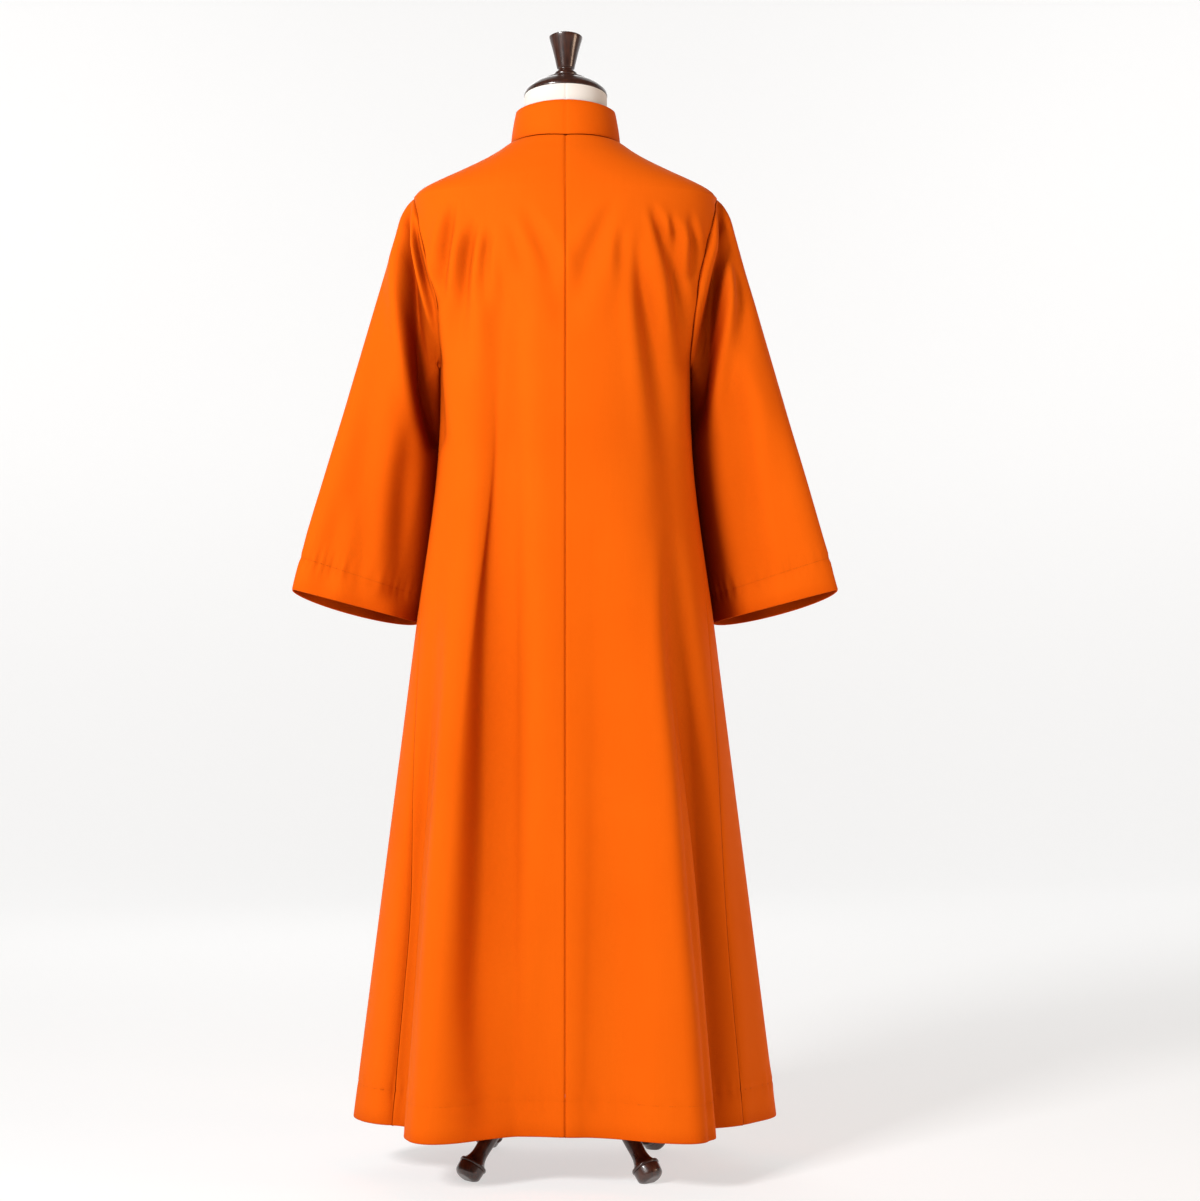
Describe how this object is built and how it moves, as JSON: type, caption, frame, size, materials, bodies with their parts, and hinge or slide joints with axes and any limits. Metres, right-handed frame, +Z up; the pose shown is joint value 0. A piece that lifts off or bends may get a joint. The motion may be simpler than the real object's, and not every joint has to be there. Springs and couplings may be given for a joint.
{
  "type": "choir cassock on a dress form",
  "caption": "Full-length orange choir cassock with a stand collar, centre back seam and set-in bell sleeves, resting on the shoulders of a limbless dress form on a splayed wooden stand",
  "frame": {"origin": "on the floor under the middle of the part", "axes": "+Z up, the front of the cassock faces -Y, the wearer's left is +X"},
  "size_m": [0.794, 0.4465, 1.6452],
  "materials": {
    "cloth": "fine twill with a soft satin sheen",
    "form_cover": "cream jersey, stretched smooth",
    "dark_wood": "dark brown, lacquered"
  },
  "bodies": {
    "root": {"back_left": "cloth", "back_right": "cloth", "front_left": "cloth", "front_right": "cloth", "sleeve_left": "cloth", "sleeve_right": "cloth", "collar": "cloth", "form_torso": "form_cover", "neck_cap": "dark_wood", "finial": "dark_wood", "pole": "dark_wood", "hub": "dark_wood", "leg_1": "dark_wood", "leg_2": "dark_wood", "leg_3": "dark_wood", "leg_4": "dark_wood"}
  },
  "joints": []
}
